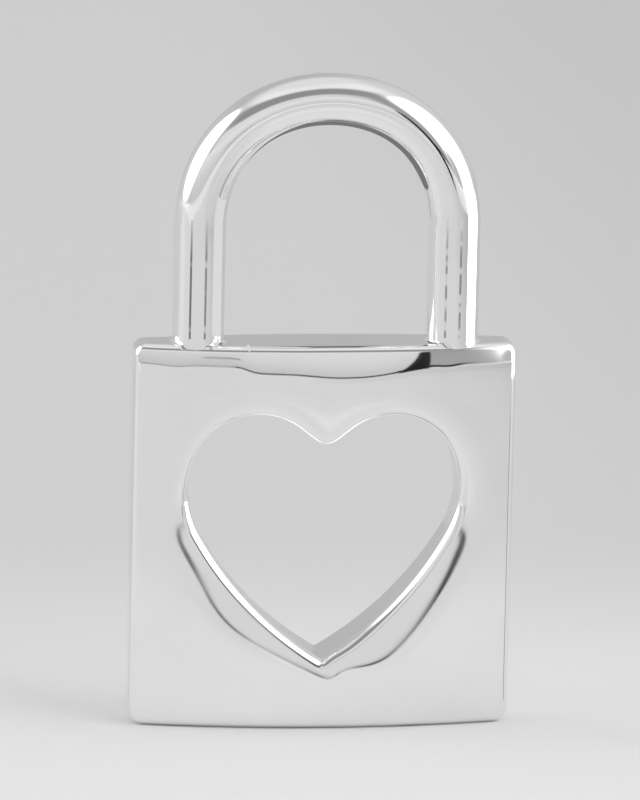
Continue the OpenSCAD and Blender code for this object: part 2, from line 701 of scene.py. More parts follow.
def grid_faces(rows: int, columns: int, loop_rows: bool, loop_columns: bool) -> np.ndarray:
    """Returns the quads of a grid whose points are numbered row by row.

    Args:
        rows: How many rows of points.
        columns: How many points in a row.
        loop_rows: Whether the last row joins the first.
        loop_columns: Whether the last point of a row joins the first.

    Returns:
        Faces by 4 indices.
    """
    row = np.arange(rows if loop_rows else rows - 1)[:, None]
    column = np.arange(columns if loop_columns else columns - 1)[None, :]
    next_row = (row + 1) % rows
    next_column = (column + 1) % columns
    corners = [(row, column), (row, next_column), (next_row, next_column), (next_row, column)]
    return np.stack([(r * columns + c).ravel() for r, c in corners], axis=-1)


def link(mesh: bpy.types.Mesh) -> bpy.types.Object:
    """Makes an object of the mesh's name at the origin and puts it into the scene.

    Args:
        mesh: The mesh.

    Returns:
        The object.
    """
    made = bpy.data.objects.new(mesh.name, mesh)
    bpy.context.scene.collection.objects.link(made)
    return made


@dataclass
class LockBody:
    """The square body with its bowed faces, rounded edges and the heart cut through it.

    Attributes:
        width: Side to side, from the frame.
        thickness: Front to back, from the frame.
        height: Without the shackle.
        front_bow: How far the front bows out.
        back_bow: How far the back bows out.
        low_corner_r: Corner radius at the base.
        top_corner_r: Corner radius at the top.
        edge_r: Rounding of the outer edges.
        heart_edge_r: Rounding of the heart's edges.
        heart: The heart.
        hub_z: Height of the point from which the section's columns fan out.
        half_columns: Sections in each half.
        turn_weight: Length that counts for a radian of turning where the columns are placed.
        rim_weight: How much the rim's length counts beside the heart's.
        face_crowding: How much the rows of the broad faces crowd towards the edges.
        wall_crowding: The same in the walls.
        rows: Rows of points in each strip.
        rolled: The four rounded edges, which build() works out.
        rim_outline: The rim's outline, which build() works out.
    """

    width: float
    thickness: float
    height: float = 13.0 * MM
    front_bow: float = 0.8 * MM
    back_bow: float = 0.55 * MM
    low_corner_r: float = 0.5 * MM
    top_corner_r: float = 0.4 * MM
    edge_r: float = 0.28 * MM
    heart_edge_r: float = 0.35 * MM
    heart: HeartCut = HeartCut()
    hub_z: float = 7.0 * MM
    half_columns: int = 270
    turn_weight: float = 0.9 * MM
    rim_weight: float = 0.5
    face_crowding: float = 0.6
    wall_crowding: float = 0.5
    rows: dict[Row, int] = field(
        default_factory=lambda: {
            Row.HEART_FRONT_EDGE: 14,
            Row.FRONT_FACE: 66,
            Row.RIM_FRONT_EDGE: 12,
            Row.RIM: 6,
            Row.RIM_BACK_EDGE: 10,
            Row.BACK_FACE: 36,
            Row.HEART_BACK_EDGE: 10,
            Row.HEART_WALL: 8,
        }
    )
    rolled: dict[tuple[Side, Wall], RolledEdge] = field(init=False)
    rim_outline: PlanCurve = field(init=False)

    def rim_half(self) -> PlanCurve:
        """Works out the right half of the square outline, from the top down, with its two corner arcs.

        Returns:
            The half outline. Its metal faces outwards.
        """
        right, top, low = self.width / 2, self.top_corner_r, self.low_corner_r
        top_centre = np.array([right - top, self.height - top])
        low_centre = np.array([right - low, low])
        return PlanCurve.join(
            [
                PlanCurve.line(np.array([0.0, self.height]), top_centre + [0, top], 90),
                PlanCurve.arc(top_centre, top, 90, 0, Facing.AWAY),
                PlanCurve.line(top_centre + [top, 0], low_centre + [low, 0], 0),
                PlanCurve.arc(low_centre, low, 0, -90, Facing.AWAY),
                PlanCurve.line(low_centre - [0, low], np.array([0.0, 0.0]), -90),
            ]
        )

    def outlines(self) -> tuple[PlanCurve, PlanCurve]:
        """Places the section's columns on both outlines.

        Both half outlines are read by their bearing from the hub. The columns are even in the sum of the two
        curves' lengths, with turning counted as extra length, so that corners get more of them.

        Returns:
            The heart's outline and the rim's, closed, with the same number of samples.
        """
        hub = np.array([0.0, self.hub_z])
        heart, rim = self.heart.half(), self.rim_half()
        fine_steps = 20_001
        bearings = np.linspace(0.0, math.pi, fine_steps)
        heart_work = np.interp(bearings, heart.bearing(hub), heart.effort(self.turn_weight))
        rim_work = np.interp(bearings, rim.bearing(hub), rim.effort(self.turn_weight))
        work = heart_work + self.rim_weight * rim_work
        columns = np.interp(np.linspace(0.0, work[-1], self.half_columns + 1), work, bearings)
        return heart.at(hub, columns).mirrored(), rim.at(hub, columns).mirrored()

    def faces(self, heart: PlanCurve) -> tuple[FaceRelief, FaceRelief]:
        """Settles how the two broad faces are bowed and buffed.

        Args:
            heart: The heart's outline.

        Returns:
            The relief of the front and that of the back.
        """
        shared = {
            "middle": self.thickness / 2,
            "half_width": self.width / 2,
            "height": self.height,
            "heart": heart.points,
            "rim_fall": SoftRamp(slope=0.1, knee=0.4 * MM, softness=0.12 * MM),
        }
        front = FaceRelief(
            side=Side.FRONT,
            bow=self.front_bow,
            patch=BuffedPatch(),
            heart_bevel=SoftRamp(slope=0.215, knee=0.0, softness=0.2 * MM),
            top_fall=SoftRamp(slope=0.27, knee=0.54 * MM, softness=0.22 * MM),
            top_swells=(
                Swell(-2.7 * MM, 2.75 * MM, (0.16 * MM, 0.45 * MM), 0.24 * MM),
                Swell(-0.5 * MM, 1.9 * MM, (0.4 * MM, 0.4 * MM), 0.15 * MM),
                Swell(3.75 * MM, 4.3 * MM, (0.12 * MM, 0.12 * MM), 0.07 * MM),
                Swell(-5.4 * MM, -4.7 * MM, (0.15 * MM, 0.15 * MM), 0.06 * MM),
            ),
            ripple=Ripple(height=0.25e-6, length=3.6 * MM, seed=5),
            **shared,
        )
        back = FaceRelief(
            side=Side.BACK,
            bow=self.back_bow,
            patch=BuffedPatch(
                left_width=0.7 * MM,
                right_width=0.7 * MM,
                left_narrowing=0.0,
                right_narrowing=0.0,
                low_left=0.0,
                low_left_slope=0.0,
                low_right=0.0,
                left_swells=(),
                right_rounding=0.22 * MM,
            ),
            heart_bevel=SoftRamp(slope=0.1, knee=0.0, softness=0.12 * MM),
            heart_lip=SoftRamp(slope=0.1, knee=0.4 * MM, softness=0.06 * MM),
            top_fall=SoftRamp(slope=0.12, knee=0.5 * MM, softness=0.14 * MM),
            ripple=Ripple(height=0.25e-6, length=3.6 * MM, seed=8),
            **shared,
        )
        return front, back

    def face_rows(self, face: FaceRelief, start: Wall, stop: Wall, count: int) -> np.ndarray:
        """Returns rows across a face between the tracks of two edges.

        In plan each column is the straight line between its two touching points, with rows crowding towards
        both ends. The height field gives Y.

        Args:
            face: The face.
            start: Wall at whose edge the rows start.
            stop: Wall at whose edge they end.
            count: How many rows, both ends included.

        Returns:
            An array of rows by columns by 3.
        """
        first, last = (self.rolled[face.side, wall].face_touch() for wall in (start, stop))
        plan = blend(first, last, spread(count, self.face_crowding)[:, None, None])
        depth = face.y(plan[..., 0], plan[..., 1])
        return np.stack([plan[..., 0], depth, plan[..., 1]], axis=-1)

    def wall_rows(self, start: np.ndarray, stop: np.ndarray, count: int) -> np.ndarray:
        """Returns rows down a wall, along the straight lines from its first points to its last ones."""
        return blend(start, stop, spread(count, self.wall_crowding)[:, None, None])

    def on_top(self) -> np.ndarray:
        """Returns which of the rim's samples lie on the flat top."""
        return self.rim_outline.points[:, 1] > self.height - NEXT_TO_NOTHING

    def build(self) -> bpy.types.Object:
        """Builds the body as one grid that is closed both ways.

        The section runs from the heart's front edge over the front, round the rim, over the back and through
        the heart's wall. Each strip leaves out its last row, which the next strip starts with.

        Returns:
            The finished object, with the heart's wall and the flat top in its second material slot.
        """
        heart, rim = self.outlines()
        front, back = self.faces(heart)
        self.rim_outline = rim
        walls = ((Wall.HEART, heart, self.heart_edge_r), (Wall.RIM, rim, self.edge_r))
        self.rolled = {
            (face.side, wall): RolledEdge.between(face, outline, radius)
            for face in (front, back)
            for wall, outline, radius in walls
        }
        counts = {row: number + 1 for row, number in self.rows.items()}
        heart_front = self.rolled[Side.FRONT, Wall.HEART].rows(counts[Row.HEART_FRONT_EDGE])[::-1]
        rim_front = self.rolled[Side.FRONT, Wall.RIM].rows(counts[Row.RIM_FRONT_EDGE])
        rim_back = self.rolled[Side.BACK, Wall.RIM].rows(counts[Row.RIM_BACK_EDGE])[::-1]
        heart_back = self.rolled[Side.BACK, Wall.HEART].rows(counts[Row.HEART_BACK_EDGE])
        strips = {
            Row.HEART_FRONT_EDGE: heart_front,
            Row.FRONT_FACE: self.face_rows(front, Wall.HEART, Wall.RIM, counts[Row.FRONT_FACE]),
            Row.RIM_FRONT_EDGE: rim_front,
            Row.RIM: self.wall_rows(rim_front[-1], rim_back[0], counts[Row.RIM]),
            Row.RIM_BACK_EDGE: rim_back,
            Row.BACK_FACE: self.face_rows(back, Wall.RIM, Wall.HEART, counts[Row.BACK_FACE]),
            Row.HEART_BACK_EDGE: heart_back,
            Row.HEART_WALL: self.wall_rows(heart_back[-1], heart_front[0], counts[Row.HEART_WALL]),
        }
        grid = np.concatenate([strips[row][:-1] for row in Row])
        count, columns = grid.shape[:2]
        mesh = make_mesh("heart_lock_body", grid.reshape(-1, 3), [grid_faces(count, columns, True, True)])
        starts = np.cumsum([0] + [self.rows[row] for row in Row])
        number = np.arange(count)[:, None]
        in_wall = number >= starts[Row.HEART_WALL.value]
        in_rim = (number >= starts[Row.RIM.value]) & (number < starts[Row.RIM.value + 1])
        soft = in_wall | (in_rim & self.on_top()[None, :])
        mesh.polygons.foreach_set("material_index", soft.astype(np.int32).ravel())
        return link(mesh)

    def top_seat(self, x: np.ndarray, way: np.ndarray) -> np.ndarray:
        """Returns the Y of the rolling ball's centre along the top edge.

        Args:
            x: Positions across the body.
            way: Numbers whose sign names the side, negative for the front.

        Returns:
            The Y of the centre at each of them.
        """
        top = self.on_top()
        order = np.argsort(self.rim_outline.points[top, 0])
        seats = {}
        for side in Side:
            centre = self.rolled[side, Wall.RIM].centre[top][order]
            seats[side] = np.interp(x, centre[:, 0], centre[:, 1])
        return np.where(way < 0, seats[Side.FRONT], seats[Side.BACK])

    def top_surface(self, x: np.ndarray, y: np.ndarray) -> np.ndarray:
        """Height of the body's top with its two rounded edges, at places near the top.

        Between the two balls' centres it is flat. Beyond them it follows the ball, almost to its side: the
        centre's height plus the root of the radius squared less the offset squared.

        Args:
            x: Positions across the body.
            y: Positions front to back.

        Returns:
            The heights.
        """
        beyond = np.abs(y) - np.abs(self.top_seat(x, y))
        almost_all = 0.999
        inside = np.clip(beyond, 0.0, almost_all * self.edge_r)
        return self.height - self.edge_r + np.sqrt(self.edge_r**2 - inside**2)


@dataclass
class Shackle:
    """The round wire shackle, whose feet run into the body's top.

    Attributes:
        top: Height of the highest point, from the frame.
        wire_r: Radius of the wire.
        leg_x: Distance of a leg's axis from the middle.
        shoulder: How far the arch's shoulders stand out from a half ring.
        foot_r: How far the foot spreads, and about how high it starts.
        foot_bend: How far the two control points in its middle are from its ends, as a share of that.
        edge_cover: Share of the body's rounded edge that a foot may cover.
        plug_depth: How far the hidden plug reaches into the body.
        plug_taper: Share by which the plug gets narrower.
        leg_crowding: How much a leg's rows crowd towards its ends.
        around: Points round the wire.
        foot_rows: Rows of points down a foot.
        leg_rows: Rows down a leg.
        arch_rows: Rows over the arch.
    """

    top: float
    wire_r: float = 0.87 * MM
    leg_x: float = 4.26 * MM
    shoulder: float = 0.08 * MM
    foot_r: float = 0.12 * MM
    foot_bend: float = 0.4
    edge_cover: float = 0.85
    plug_depth: float = 0.3 * MM
    plug_taper: float = 0.2
    leg_crowding: float = 0.4
    around: int = 96
    foot_rows: int = 10
    leg_rows: int = 30
    arch_rows: int = 200

    def foot(self, body: LockBody, turn: np.ndarray) -> np.ndarray:
        """Rows of the right foot, from the body's surface up to the round leg.

        Seen from the leg's axis, each column is a cubic curve with four control points: on the body's
        surface, a little way up that surface towards the leg, a little way down the leg, and on the leg.

        Args:
            body: The body that the foot stands on.
            turn: Angles round the wire.

        Returns:
            An array of rows by columns by 3.
        """
        out, across = np.cos(turn), np.sin(turn)
        seat = body.top_seat(self.leg_x + self.wire_r * out, across)
        room = np.abs(seat) + self.edge_cover * body.edge_r
        spread_r = np.minimum(self.wire_r + self.foot_r, room / np.maximum(np.abs(across), NEXT_TO_NOTHING))
        near_r = blend(self.wire_r, spread_r, self.foot_bend)

        def surface(radius: Numbers) -> np.ndarray:
            """Returns the body's height under a ring of that radius round the leg."""
            return body.top_surface(self.leg_x + radius * out, radius * across)

        start = surface(self.wire_r)
        radii = [spread_r, near_r, self.wire_r, self.wire_r]
        bend = self.foot_bend * self.foot_r
        heights = [surface(spread_r), surface(near_r), start + bend, start + self.foot_r]
        run = np.linspace(0.0, 1.0, self.foot_rows + 1)[:, None]
        weights = [(1 - run) ** 3, 3 * run * (1 - run) ** 2, 3 * run**2 * (1 - run), run**3]
        radius = sum(w * r for w, r in zip(weights, radii))
        level = sum(w * h for w, h in zip(weights, heights))
        return np.stack([self.leg_x + radius * out, radius * across, level], axis=-1)

    def arch(self, turn: np.ndarray, spring: float) -> np.ndarray:
        """Rows over the arch, from the right leg to the left one.

        The path's distance from the arch's middle is the legs' distance plus the shoulder times the squared
        sine of twice the angle. A point on the wire is the path's point plus the radius times the cosine of
        the turn along the path's outward normal and its sine along Y.

        Args:
            turn: Angles round the wire.
            spring: Height at which the legs end.

        Returns:
            An array of rows by columns by 3.
        """
        angle = np.linspace(0.0, math.pi, self.arch_rows + 1)[:, None]
        reach = self.leg_x + self.shoulder * np.sin(2 * angle) ** 2
        change = 2 * self.shoulder * np.sin(4 * angle)
        length = np.hypot(reach, change)
        normal_x = (reach * np.cos(angle) + change * np.sin(angle)) / length
        normal_z = (reach * np.sin(angle) - change * np.cos(angle)) / length
        out = self.wire_r * np.cos(turn)
        return np.stack(
            [
                reach * np.cos(angle) + out * normal_x,
                np.broadcast_to(self.wire_r * np.sin(turn), (len(angle), len(turn))),
                spring + reach * np.sin(angle) + out * normal_z,
            ],
            axis=-1,
        )

    def build(self, body: LockBody) -> bpy.types.Object:
        """Builds the shackle as one tube with closed ends.

        It goes up a leg, over the arch and down again, and the left leg is the mirror image of the right one.

        Args:
            body: The body that it stands on.

        Returns:
            The finished object.
        """
        turn = np.linspace(0.0, 2 * math.pi, self.around, endpoint=False)
        foot = self.foot(body, turn)
        spring = self.top - self.wire_r - self.leg_x
        low = body.height - self.plug_depth
        plug = foot[0] * [1.0, 1.0, 0.0] + [0.0, 0.0, low]
        plug = blend(plug, np.array([self.leg_x, 0.0, low]), self.plug_taper)
        around = self.wire_r * direction(turn)
        upper = np.column_stack([self.leg_x + around[:, 0], around[:, 1], np.full(len(turn), spring)])
        share = spread(self.leg_rows + 1, self.leg_crowding)[1:-1, None, None]
        leg = blend(foot[-1], upper, share)
        arch = self.arch(turn, spring)
        right = np.concatenate([plug[None], foot, leg])
        left = right[::-1] * [-1.0, 1.0, 1.0]
        grid = np.concatenate([right, arch, left])
        rows, columns = grid.shape[:2]
        poles = np.stack([grid[0].mean(axis=0), grid[-1].mean(axis=0)])
        points = np.concatenate([grid.reshape(-1, 3), poles])
        column = np.arange(columns)
        following = (column + 1) % columns
        last = (rows - 1) * columns
        pole = np.full(columns, rows * columns)
        first_cap = np.stack([pole, following, column], axis=-1)
        last_cap = np.stack([pole + 1, last + column, last + following], axis=-1)
        quads = grid_faces(rows, columns, False, True)
        return link(make_mesh("heart_lock_shackle", points, [quads, first_cap, last_cap]))


@dataclass(frozen=True)
class NodeMaker:
    """Adds nodes to a tree and links them, with few words.

    Attributes:
        tree: The node tree.
    """

    tree: bpy.types.NodeTree

    @staticmethod
    def for_material(name: str) -> "tuple[bpy.types.Material, NodeMaker]":
        """Makes a material with an empty node tree, and the maker of its nodes.

        Args:
            name: The material's name.

        Returns:
            The material and the maker.
        """
        made = bpy.data.materials.new(name)
        made.use_nodes = True
        made.node_tree.nodes.clear()
        return made, NodeMaker(made.node_tree)

    def feed(self, socket: bpy.types.NodeSocket, value: object) -> None:
        """Links an output to an input socket, or writes a plain value into it.

        Args:
            socket: The input socket.
            value: An output socket or a value.
        """
        if isinstance(value, bpy.types.NodeSocket):
            self.tree.links.new(value, socket)
        else:
            socket.default_value = value

    def add(self, kind: str, settings: dict | None = None, **inputs: object) -> bpy.types.Node:
        """Adds a node.

        Args:
            kind: The node's type.
            settings: Properties of the node.
            **inputs: Values or output sockets for its inputs, by name with _ for a space.

        Returns:
            The node.
        """
        node = self.tree.nodes.new(kind)
        for name, value in (settings or {}).items():
            setattr(node, name, value)
        for name, value in inputs.items():
            self.feed(node.inputs[name.replace("_", " ")], value)
        return node

    def math(self, operation: str, first: object, second: object) -> bpy.types.NodeSocket:
        """Adds a Math node.

        Args:
            operation: What it does.
            first: A value or an output socket.
            second: The same.

        Returns:
            The node's output.
        """
        node = self.add("ShaderNodeMath", {"operation": operation})
        for socket, value in zip(node.inputs, (first, second)):
            self.feed(socket, value)
        return node.outputs[0]

    def between(
        self,
        value: bpy.types.NodeSocket,
        ends: tuple[float, float],
        results: tuple[float, float] = (0.0, 1.0),
        change: Change = Change.EVEN,
    ) -> bpy.types.NodeSocket:
        """Adds a Map Range node.

        Args:
            value: The value that is mapped.
            ends: The two values between which the result changes.
            results: The result at each of them and beyond.
            change: How it changes in between.

        Returns:
            The node's output.
        """
        node = self.add(
            "ShaderNodeMapRange",
            {"interpolation_type": change.value},
            Value=value,
            From_Min=ends[0],
            From_Max=ends[1],
            To_Min=results[0],
            To_Max=results[1],
        )
        return node.outputs[0]

    def show(self, shader: bpy.types.Node) -> None:
        """Adds the material's output node and links the shader to its surface."""
        self.add("ShaderNodeOutputMaterial", Surface=shader.outputs[0])


@dataclass(frozen=True)
class BuffedPolish:
    """The hand-buffed polish that all of the silver shares.

    Attributes:
        mark_turn: Turn of the buffing marks.
        mark_stretch: How they are stretched.
        mark_detail: How finely they are broken up.
        patch_size: Fineness of the softer patches.
        patch_detail: How finely those are broken up.
        patch_range: Values of their noise between which the polish gets softer.
    """

    mark_turn: tuple[float, float, float] = (0.0, 0.5, 0.0)
    mark_stretch: tuple[float, float, float] = (1.0, 1.0, 0.07)
    mark_detail: float = 3.0
    patch_size: float = 340.0
    patch_detail: float = 4.0
    patch_range: tuple[float, float] = (0.35, 0.7)

    def group(self) -> bpy.types.NodeTree:
        """Builds the shared node group.

        Stretched noise makes hair-fine buffing marks, and slow noise makes patches in which the polish is a
        little softer and the metal a little duller.

        Returns:
            The group, with the inputs Coordinates, Mark Size, Softness and Softness Change, and the outputs
            Roughness, Height and Dulling.
        """
        group = bpy.data.node_groups.new("buffed_polish", "ShaderNodeTree")
        face = group.interface
        face.new_socket("Coordinates", in_out="INPUT", socket_type="NodeSocketVector")
        for name in ("Mark Size", "Softness", "Softness Change"):
            face.new_socket(name, in_out="INPUT", socket_type="NodeSocketFloat")
        for name in ("Roughness", "Height", "Dulling"):
            face.new_socket(name, in_out="OUTPUT", socket_type="NodeSocketFloat")
        make = NodeMaker(group)
        given = make.add("NodeGroupInput").outputs
        stretched = make.add(
            "ShaderNodeMapping",
            {"vector_type": "POINT"},
            Vector=given["Coordinates"],
            Rotation=self.mark_turn,
            Scale=self.mark_stretch,
        )
        noise = "ShaderNodeTexNoise"
        lines = stretched.outputs[0]
        marks = make.add(noise, Vector=lines, Scale=given["Mark Size"], Detail=self.mark_detail)
        patches = make.add(
            noise, Vector=given["Coordinates"], Scale=self.patch_size, Detail=self.patch_detail
        )
        patch = make.between(patches.outputs[0], self.patch_range)
        softer = make.math("MULTIPLY", given["Softness Change"], patch)
        roughness = make.math("ADD", given["Softness"], softer)
        make.add("NodeGroupOutput", Roughness=roughness, Height=marks.outputs[0], Dulling=patch)
        return group


@dataclass(frozen=True)
class SilverFinish:
    """Silver with a polish of its own.

    Attributes:
        name: The material's name.
        bright: Colour where the polish is freshest.
        dull: Colour in the softer patches.
        softness: Least roughness.
        softness_change: Roughness that the softer patches add.
        mark_depth: Depth of the buffing marks.
        mark_size: Their fineness.
    """

    name: str
    bright: tuple[float, float, float]
    dull: tuple[float, float, float]
    softness: float
    softness_change: float
    mark_depth: float
    mark_size: float = 2600.0

    def material(self, group: bpy.types.NodeTree) -> bpy.types.Material:
        """Builds the material.

        Args:
            group: The shared polish group.

        Returns:
            A metal whose colour, roughness and fine relief come from the group's outputs.
        """
        made, make = NodeMaker.for_material(self.name)
        place = make.add("ShaderNodeTexCoord")
        polish = make.add(
            "ShaderNodeGroup",
            {"node_tree": group},
            Coordinates=place.outputs["Object"],
            Mark_Size=self.mark_size,
            Softness=self.softness,
            Softness_Change=self.softness_change,
        ).outputs
        tint = make.add("ShaderNodeMix", {"data_type": "RGBA"}, Factor=polish["Dulling"])
        for number, colour in zip(MIX_COLOURS, (self.bright, self.dull)):
            tint.inputs[number].default_value = (*colour, 1.0)
        bump = make.add("ShaderNodeBump", Strength=1.0, Distance=self.mark_depth, Height=polish["Height"])
        shader = make.add(
            "ShaderNodeBsdfPrincipled",
            Base_Color=tint.outputs[MIX_COLOUR_RESULT],
            Metallic=1.0,
            Roughness=polish["Roughness"],
            Normal=bump.outputs[0],
        )
        make.show(shader)
        return made


def glow_material(name: str) -> bpy.types.Material:
    """Builds a material that gives off as much light as the mesh's attribute "glow" says.

    Args:
        name: The material's name.

    Returns:
        The material.
    """
    made, make = NodeMaker.for_material(name)
    made.cycles.emission_sampling = "NONE"
    light = make.add("ShaderNodeAttribute", {"attribute_name": "glow"})
    make.show(make.add("ShaderNodeEmission", Color=WHITE, Strength=light.outputs["Fac"]))
    return made


def light_surface(
    name: str, grid: np.ndarray, light: np.ndarray, lights_floor: bool = False
) -> bpy.types.Object:
    """Makes a surface of the studio that gives off light, and that only reflections and the floor see.

    Args:
        name: The surface's name.
        grid: Rows by columns by 3 points.
        light: Linear light at each of them.
        lights_floor: Whether the floor sees it.

    Returns:
        The surface, which the camera doesn't see.
    """
    rows, columns = grid.shape[:2]
    mesh = make_mesh(name, grid.reshape(-1, 3), [grid_faces(rows, columns, False, False)])
    glow = mesh.attributes.new("glow", "FLOAT", "POINT")
    glow.data.foreach_set("value", np.ascontiguousarray(light, dtype=np.float32).ravel())
    surface = link(mesh)
    mesh.materials.append(glow_material(name))
    surface.visible_camera = False
    surface.visible_shadow = False
    surface.visible_diffuse = lights_floor
    return surface


@dataclass(frozen=True)
class Glow:
    """A soft patch of light or shade on the studio's dome.

    Attributes:
        azimuth: Its middle, in degrees from straight in front, positive to the right.
        elevation: Its middle, in degrees above the floor.
        half_width: Half its width in degrees.
        half_height: Half its height in degrees.
        light: Its linear light at its lowest and at its highest place.
        softness: Width of its edge, as a share of its own size.
        power: How square it is, from 2 for an ellipse upwards.
    """

    azimuth: float
    elevation: float
    half_width: float
    half_height: float
    light: tuple[float, float]
    softness: float = 0.05
    power: float = 2.8

    def over(self, azimuth: np.ndarray, elevation: np.ndarray, below: np.ndarray) -> np.ndarray:
        """Lays the patch over the light that is there.

        The patch's own radius is the root of the summed powers of the two offsets, each over its half size.
        Its cover is a soft step where that radius passes one.

        Args:
            azimuth: Azimuths in degrees.
            elevation: Elevations in degrees.
            below: The light there so far.

        Returns:
            The light with the patch.
        """
        across = np.abs((azimuth - self.azimuth + 180) % 360 - 180) / self.half_width
        upward = (elevation - self.elevation) / self.half_height
        radius = (across**self.power + np.abs(upward) ** self.power) ** (1 / self.power)
        own = blend(*self.light, np.clip((upward + 1) / 2, 0, 1))
        return blend(below, own, soft_step(1 - radius, self.softness))


@dataclass(frozen=True)
class Dome:
    """The dome of soft light over the object.

    Attributes:
        radius: The dome's radius.
        low_light: Light of the room from the floor up to half height.
        high_light: Light overhead.
        change: Elevations in degrees between which one changes into the other.
        low_end: Elevation of its lower border, in degrees.
        rows: Points upwards.
        columns: Points round it.
        patches: What hangs in the room, each laid over those before it.
    """

    radius: float = 0.9
    low_light: float = 0.5
    high_light: float = 0.78
    change: tuple[float, float] = (45.0, 70.0)
    low_end: float = -0.4
    rows: int = 92
    columns: int = 361
    patches: tuple[Glow, ...] = (
        Glow(118, 25, 40, 42, (0.62, 0.7), 0.15),
        Glow(-118, 12, 40, 26, (0.66, 0.6), 0.15),
        Glow(-45, 67, 50, 9, (0.9, 0.9), 0.2),
        Glow(50, 67, 42, 10, (0.9, 0.9), 0.2),
        Glow(-50, 2, 78, 34, (0.36, 0.84), 0.05),
        Glow(-14, 45, 54, 12.5, (0.29, 0.29), 0.09, 3.0),
        Glow(29, 12, 9, 36, (0.44, 0.3), 0.12, 3.0),
        Glow(-61, 28, 7, 15, (0.42, 0.42), 0.25),
        Glow(-94, 27, 31, 25, (2.4, 2.4), 0.04, 2.4),
        Glow(73, 20, 37, 33, (2.6, 2.6), 0.04, 2.8),
        Glow(45, 2, 9, 10, (0.5, 0.5), 0.1),
    )

    def light_at(self, azimuth: np.ndarray, elevation: np.ndarray) -> np.ndarray:
        """Works out the light in each direction: a smoothstep from low to high, under the patches.

        Args:
            azimuth: Azimuths in degrees.
            elevation: Elevations in degrees.

        Returns:
            The linear light.
        """
        start, stop = self.change
        rise = np.clip((elevation - start) / (stop - start), 0, 1)
        light = blend(self.low_light, self.high_light, rise**2 * (3 - 2 * rise))
        for patch in self.patches:
            light = patch.over(azimuth, elevation, light)
        return light

    def build(self) -> bpy.types.Object:
        """Builds the dome, whose points are the radius times cosines and sines of the two angles.

        Returns:
            The dome.
        """
        azimuth, elevation = np.meshgrid(
            np.linspace(-180, 180, self.columns), np.linspace(self.low_end, 90, self.rows)
        )
        upward = np.radians(elevation)
        grid = round_axis(azimuth, self.radius * np.cos(upward), self.radius * np.sin(upward))
        return light_surface("studio_dome", grid, self.light_at(azimuth, elevation), lights_floor=True)


@dataclass(frozen=True)
class Screen:
    """A narrow upright screen round the object, which shows in its reflections alone.

    Attributes:
        name: The screen's name.
        height: From and to, above the floor.
        radius: Its distance from the object's axis.
        stops: Azimuths in degrees from straight in front, positive to the right, each with the linear light
            at the screen's foot and at its top there. The first and the last are its ends.
        lean: Degrees by which its two ends move from its foot to its top.
        rows: Points upwards.
        columns: Points along it, besides the stops.
    """

    name: str
    height: tuple[float, float]
    radius: float
    stops: tuple[tuple[float, float, float], ...]
    lean: tuple[float, float] = (0.0, 0.0)
    rows: int = 9
    columns: int = 97

    def build(self) -> bpy.types.Object:
        """Builds the screen: an arc at each share of its height, with even changes of light between stops.

        Returns:
            The screen.
        """
        azimuth, foot, top = np.array(self.stops).T
        first, last = azimuth[0], azimuth[-1]
        along = np.union1d(np.linspace(first, last, self.columns), azimuth)[None, :]
        rise = np.linspace(0, 1, self.rows)[:, None]
        light = blend(np.interp(along, azimuth, foot), np.interp(along, azimuth, top), rise)
        leaning = along + rise * blend(*self.lean, (along - first) / (last - first))
        return light_surface(self.name, round_axis(leaning, self.radius, blend(*self.height, rise)), light)


@dataclass(frozen=True)
class FloorCard:
    """A level wedge of card beside the object or over it, which shows in its reflections alone.

    Attributes:
        name: The card's name.
        apex: x and y of the point that the wedge's two sides run out from.
        azimuth: From and to, in degrees from straight in front, positive to the right.
        reach: From and to, from the apex.
        light: Linear light.
        level: Height above the floor.
        columns: Points across it.
    """

    name: str
    apex: tuple[float, float]
    azimuth: tuple[float, float]
    reach: tuple[float, float]
    light: float
    level: float = 0.02 * MM
    columns: int = 17

    def build(self) -> bpy.types.Object:
        """Builds the card: the apex plus points round the Z axis, at its level.

        Returns:
            The card.
        """
        azimuth = np.linspace(*self.azimuth, self.columns)[None, :]
        reach = np.array(self.reach)[:, None]
        grid = round_axis(azimuth, reach, self.level) + [*self.apex, 0.0]
        return light_surface(self.name, grid, np.full(grid.shape[:2], self.light))


@dataclass(frozen=True)
class UprightCard:
    """A flat upright card, which shows in reflections alone.

    Attributes:
        name: The card's name.
        start: x and y of one end.
        stop: x and y of the other.
        height: From and to, above the floor.
        light: Linear light.
    """

    name: str
    start: tuple[float, float]
    stop: tuple[float, float]
    height: tuple[float, float]
    light: float

    def build(self) -> bpy.types.Object:
        """Builds the card from its four corners."""
        grid = np.array([[(*end, level) for end in (self.start, self.stop)] for level in self.height])
        return light_surface(self.name, grid, np.full(grid.shape[:2], self.light))


